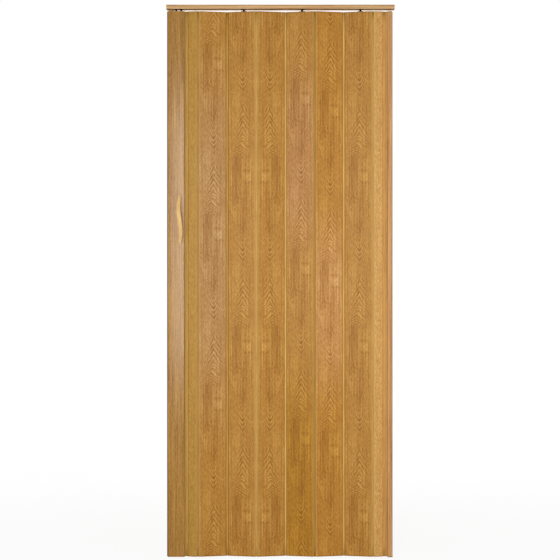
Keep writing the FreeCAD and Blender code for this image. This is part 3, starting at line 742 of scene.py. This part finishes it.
def makeStrips():
    full = [name.replace("panel", "leaf") for name in leafPrints if name.startswith("panel")]
    leaves = ["lead_leaf"] + full + ["wall_leaf"]
    pieces = [(f"hinge_strip_{n}", leaves[n - 1], leaves[n]) for n in range(1, len(leaves))]
    pieces += [("lead_hinge_strip", "lead_leaf", None), ("wall_hinge_strip", "wall_leaf", None)]
    for node, leftLeaf, rightLeaf in pieces:
        ends = beadEnds(node)
        low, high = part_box(node)
        item = stripMesh(f"soft_{node}", ends, low.z, high.z)
        # each strip's pair holds its painted light and shade
        dark, pale = stripHuesAndPaintedLight[node]
        item.data.materials.append(plainFinish(f"{node}_soft", dark, pale, **strip["look"]))
        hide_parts(node)
        if rightLeaf is None:
            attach(item, leftLeaf)
            continue
        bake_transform(item)
    print("soft strips made:", len(pieces))


# studio: pale floor, white surround, a soft lamp on each side, one for the back and one mirrored in the post
studio = {
    "floorDrop": 0.012,      # metres below the door
    "floorSide": 14.0,       # metres, half the floor's width
    "floorRough": 0.9,
    "floor": (0.66, 0.97),   # how pale the floor is to bounced light and to the eye
    "white": (0.6, 2.6),     # metres over which the floor fades to plain white
    "glow": 0.88,            # how white it is already near the door, where it keeps the shadow
    "world": (0.24, 1.0),    # strength of the surround as light and to the eye
    "target": (0, 0, -1.0),  # where the lamps look
    "lamps": {
        "key": dict(place=(-1.6, -2.2, -0.74), size=(1.4, 1.2), power=11.6, fan=150),
        "fill": dict(place=(1.6, -2.2, -0.74), size=(1.4, 1.2), power=15, fan=150),
        "back": dict(place=(0.0, 2.6, -0.85), size=(2.6, 1.2), power=44),
        "sheen": dict(place=(-0.56, -4.0, -0.7), size=(0.3, 2.0), power=50, hue=(1.0, 0.95, 0.88)),
    },
}


def seenRays(tree):
    # 1 for rays that show the surround to the camera, straight or by reflection
    kinds = tree.nodes.new("ShaderNodeLightPath").outputs
    mirrored = calc(tree, "MAXIMUM", kinds["Is Glossy Ray"], kinds["Is Transmission Ray"])
    return calc(tree, "MAXIMUM", kinds["Is Camera Ray"], mirrored)


def floorFinish():
    # a matt floor that fades into a white glow with the distance from the door's middle
    finish = bpy.data.materials.new("paleFloor")
    finish.use_nodes = True
    tree = finish.node_tree
    shader = tree.nodes["Principled BSDF"]
    shader.inputs["Roughness"].default_value = studio["floorRough"]
    seen = seenRays(tree)
    feed(tree, shader.inputs["Base Color"], spread(tree, seen, 0.0, 1.0, *studio["floor"], smooth=False))
    spot = splitAxes(tree, tree.nodes.new("ShaderNodeTexCoord").outputs["Object"])
    away = plus(tree, times(tree, spot[0], spot[0]), times(tree, spot[1], spot[1]))
    white = spread(tree, calc(tree, "SQRT", away), *studio["white"], studio["glow"], 1.0)
    fade = tree.nodes.new("ShaderNodeMixShader")
    glow = tree.nodes.new("ShaderNodeEmission")
    for socket, value in zip(fade.inputs, (times(tree, seen, white), shader.outputs[0], glow.outputs[0])):
        feed(tree, socket, value)
    feed(tree, tree.nodes["Material Output"].inputs[0], fade.outputs[0])
    return finish


def makeFloor():
    side = studio["floorSide"]
    height = cadBox[0].z - studio["floorDrop"]
    corners = [(-side, -side, height), (side, -side, height), (side, side, height), (-side, side, height)]
    mesh = bpy.data.meshes.new("floor")
    mesh.from_pydata(corners, [], [(0, 1, 2, 3)])
    mesh.materials.append(floorFinish())
    floor = bpy.data.objects.new("floor", mesh)
    bpy.context.scene.collection.objects.link(floor)
    print("floor laid")


def makeWorld():
    world = bpy.data.worlds.new("whiteRoom")
    world.use_nodes = True
    bpy.context.scene.world = world
    tree = world.node_tree
    sky = tree.nodes["Background"]
    sky.inputs["Color"].default_value = (1, 1, 1, 1)
    strength = spread(tree, seenRays(tree), 0.0, 1.0, *studio["world"], smooth=False)
    feed(tree, sky.inputs["Strength"], strength)
    print("surround made")


def makeLamps():
    for name, look in studio["lamps"].items():
        lamp = bpy.data.lights.new(name, "AREA")
        lamp.shape = "RECTANGLE"
        lamp.size, lamp.size_y = look["size"]
        lamp.energy = look["power"]
        lamp.color = look.get("hue", (1, 1, 1))
        lamp.spread = math.radians(look.get("fan", 180))
        rig = bpy.data.objects.new(name, lamp)
        rig.location = look["place"]
        x, y, z = np.array(studio["target"]) - np.array(look["place"])
        rig.rotation_euler = (math.atan2(math.hypot(x, y), -z), 0, math.atan2(y, x) - math.pi / 2)
        bpy.context.scene.collection.objects.link(rig)
    print("lamps set:", len(studio["lamps"]))


bpy.context.scene.view_settings.view_transform = "Standard"
makeCamera()
dressLeaves()
dressRails()
finishes = {name: plainFinish(name, **look) for name, look in plainFinishes.items()}
dressFittings(finishes)
makeStrips()
makeFloor()
makeWorld()
makeLamps()
